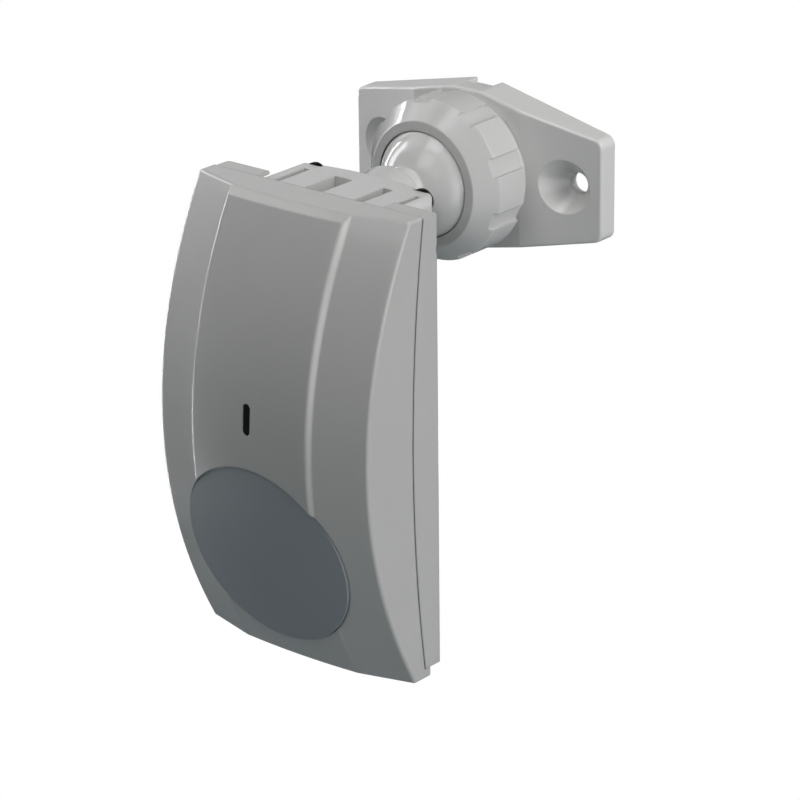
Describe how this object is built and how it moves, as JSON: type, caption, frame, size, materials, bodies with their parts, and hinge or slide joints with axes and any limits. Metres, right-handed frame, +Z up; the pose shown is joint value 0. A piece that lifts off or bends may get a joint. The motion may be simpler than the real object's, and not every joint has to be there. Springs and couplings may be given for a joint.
{
  "type": "pir motion detector",
  "caption": "Tall bowed motion detector head with a round lens and a narrow indicator slot, carried by a ball joint bracket with a fluted ring nut on a six-sided wall plate.",
  "frame": {"origin": "centre of the wall plate's back face, halfway between its fixing holes; the head hangs in front and below", "axes": "the wall is the plane y = 0 and the room is on the -Y side, +X to the right as seen from the room, +Z up"},
  "size_m": [0.0788, 0.0948, 0.1318],
  "materials": {
    "bracket_plastic": "moulded light grey plastic, smooth and slightly glossy",
    "housing_plastic": "moulded light grey plastic with a fine satin grain",
    "seat_nylon": "natural nylon",
    "lens_plastic": "translucent grey window plastic, fine matt surface",
    "smoked_plastic": "smoked clear plastic, almost black",
    "dark_plastic": "black moulded plastic",
    "black_steel": "blackened screw steel",
    "plated_steel": "bright plated steel",
    "board_laminate": "green glass-fibre board",
    "terminal_plastic": "green moulded plastic",
    "lamp_plastic": "tinted clear resin",
    "can_aluminium": "drawn aluminium can"
  },
  "bodies": {
    "bracket": {"wall_plate": "bracket_plastic"},
    "clamp_nut": {"ring_nut": "bracket_plastic"},
    "ball_ring": {"friction_ring": "seat_nylon"},
    "ball_cup": {"ball_seat": "seat_nylon"},
    "detector_head": {"ball_arm": "bracket_plastic", "arm_screws": "black_steel", "rear_housing": "housing_plastic", "front_cover": "housing_plastic", "lens_window": "lens_plastic", "lens_retainer": "dark_plastic", "led_window": "smoked_plastic", "circuit_board": "board_laminate", "board_screw": "plated_steel", "sensor_collar": "dark_plastic", "pyro_sensor": "plated_steel", "indicator_led": "lamp_plastic", "terminal_block": "terminal_plastic", "terminal_screws": "plated_steel", "alarm_relay": "dark_plastic", "control_chip": "dark_plastic", "capacitors": "can_aluminium", "header_strip": "dark_plastic", "jumper_cap": "dark_plastic", "tamper_switch": "dark_plastic", "cover_screw": "black_steel"},
    "tamper_pin": {"tamper_plunger": "seat_nylon"}
  },
  "joints": [
    {"name": "nut_turn", "type": "hinge", "parent": "bracket", "child": "clamp_nut", "pos_m": [0, -0.0195, 0], "axis": [0, -1, 0], "range_deg": [0, 90]},
    {"name": "ball_roll", "type": "hinge", "parent": "bracket", "child": "ball_ring", "pos_m": [0, -0.0195, 0], "axis": [0, -1, 0], "range_deg": [-90, 90]},
    {"name": "ball_pan", "type": "hinge", "parent": "ball_ring", "child": "ball_cup", "pos_m": [0, -0.0195, 0], "axis": [0, 0, 1], "range_deg": [-22, 22]},
    {"name": "ball_tilt", "type": "hinge", "parent": "ball_cup", "child": "detector_head", "pos_m": [0, -0.0195, 0], "axis": [1, 0, 0], "range_deg": [-22, 22]},
    {"name": "tamper_press", "type": "slide", "parent": "detector_head", "child": "tamper_pin", "axis": [0, 1, 0], "range_m": [0, 0.0006], "stiffness_N_per_m": 100, "springref_m": -0.002}
  ]
}
